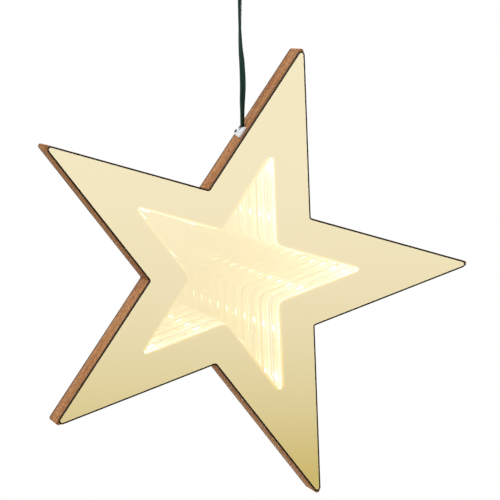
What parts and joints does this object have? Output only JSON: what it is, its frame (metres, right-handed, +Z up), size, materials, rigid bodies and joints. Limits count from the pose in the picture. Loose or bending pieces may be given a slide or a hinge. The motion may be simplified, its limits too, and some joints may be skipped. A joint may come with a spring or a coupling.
{
  "type": "hanging star light",
  "caption": "Star-shaped infinity mirror light: wooden star frame, gold two-way mirror face and a lit inner star, hung by its lead from a ceiling hook.",
  "frame": {"origin": "centre of the upper face of the ceiling hook's pad", "axes": "+Z up to the ceiling, the star's mirror face looks along -Y, +X to the right seen from the front"},
  "size_m": [0.2939, 0.035, 0.4645],
  "materials": {
    "gold_mirror": "polished",
    "foam_tape": "matte",
    "frame_wood": "matte",
    "block_wood": "matte",
    "white_wall": "satin",
    "back_mirror": "polished",
    "light_strip": "satin",
    "screw_steel": "satin",
    "anchor_plastic": "satin",
    "lead_skin": "satin",
    "tie_plastic": "satin",
    "terminal_plastic": "satin",
    "terminal_brass": "satin",
    "red_wire": "satin",
    "black_wire": "satin",
    "ferrule_metal": "satin",
    "connector_plastic": "satin",
    "pin_brass": "polished",
    "hook_plastic": "gloss",
    "hook_steel": "polished",
    "hook_foam": "matte",
    "sleeve_plastic": "satin"
  },
  "bodies": {
    "hook": {"hook_pad": "hook_foam", "hook_base": "hook_plastic", "hook_nut": "screw_steel", "hook_wire": "hook_steel"},
    "sleeve": {"hook_sleeve": "sleeve_plastic"},
    "lead": {"lead_loop": "lead_skin", "lead_drop": "lead_skin", "loop_ferrule": "ferrule_metal", "connector_relief": "connector_plastic", "connector_body": "connector_plastic", "left_connector_pin": "pin_brass", "right_connector_pin": "pin_brass"},
    "cap": {"connector_cap": "connector_plastic"},
    "star": {"front_mirror": "gold_mirror", "front_tape": "foam_tape", "top_arm_left_rail": "frame_wood", "top_arm_right_rail": "frame_wood", "left_arm_lower_rail": "frame_wood", "left_arm_upper_rail": "frame_wood", "lower_left_arm_lower_rail": "frame_wood", "lower_left_arm_upper_rail": "frame_wood", "bottom_arm_right_rail": "frame_wood", "bottom_arm_left_rail": "frame_wood", "right_arm_upper_rail": "frame_wood", "right_arm_lower_rail": "frame_wood", "top_arm_tip_block": "block_wood", "left_arm_tip_block": "block_wood", "lower_left_arm_tip_block": "block_wood", "bottom_arm_tip_block": "block_wood", "right_arm_tip_block": "block_wood", "top_arm_left_brace": "block_wood", "left_arm_lower_brace": "block_wood", "lower_left_arm_lower_brace": "block_wood", "bottom_arm_right_brace": "block_wood", "right_arm_upper_brace": "block_wood", "top_arm_tip_screw": "screw_steel", "top_arm_brace_screw": "screw_steel", "left_arm_tip_screw": "screw_steel", "left_arm_brace_screw": "screw_steel", "lower_left_arm_tip_screw": "screw_steel", "lower_left_arm_brace_screw": "screw_steel", "bottom_arm_tip_screw": "screw_steel", "bottom_arm_brace_screw": "screw_steel", "right_arm_tip_screw": "screw_steel", "right_arm_brace_screw": "screw_steel", "back_mirror": "back_mirror", "light_ring": "white_wall", "led_strip": "light_strip", "terminal_block": "terminal_plastic", "positive_terminal_screw": "terminal_brass", "negative_terminal_screw": "terminal_brass", "positive_wire": "red_wire", "negative_wire": "black_wire", "cable_anchor": "anchor_plastic", "anchor_screw": "screw_steel", "lead_inner": "lead_skin", "strain_tie": "tie_plastic"}
  },
  "joints": [
    {"name": "side_swing", "type": "hinge", "parent": "hook", "child": "sleeve", "pos_m": [0, 0, -0.034], "axis": [0, 1, 0], "range_deg": [-30, 30]},
    {"name": "front_swing", "type": "hinge", "parent": "sleeve", "child": "lead", "pos_m": [0, 0, -0.02875], "axis": [1, 0, 0], "range_deg": [-30, 30]},
    {"name": "cap_turn", "type": "hinge", "parent": "lead", "child": "cap", "pos_m": [-0.01335, 0, -0.10305], "axis": [0, 0, 1], "continuous": true},
    {"name": "star_turn", "type": "hinge", "parent": "lead", "child": "star", "pos_m": [0.00512, 0, -0.21478], "axis": [0, 0, 1], "range_deg": [-180, 180]}
  ]
}
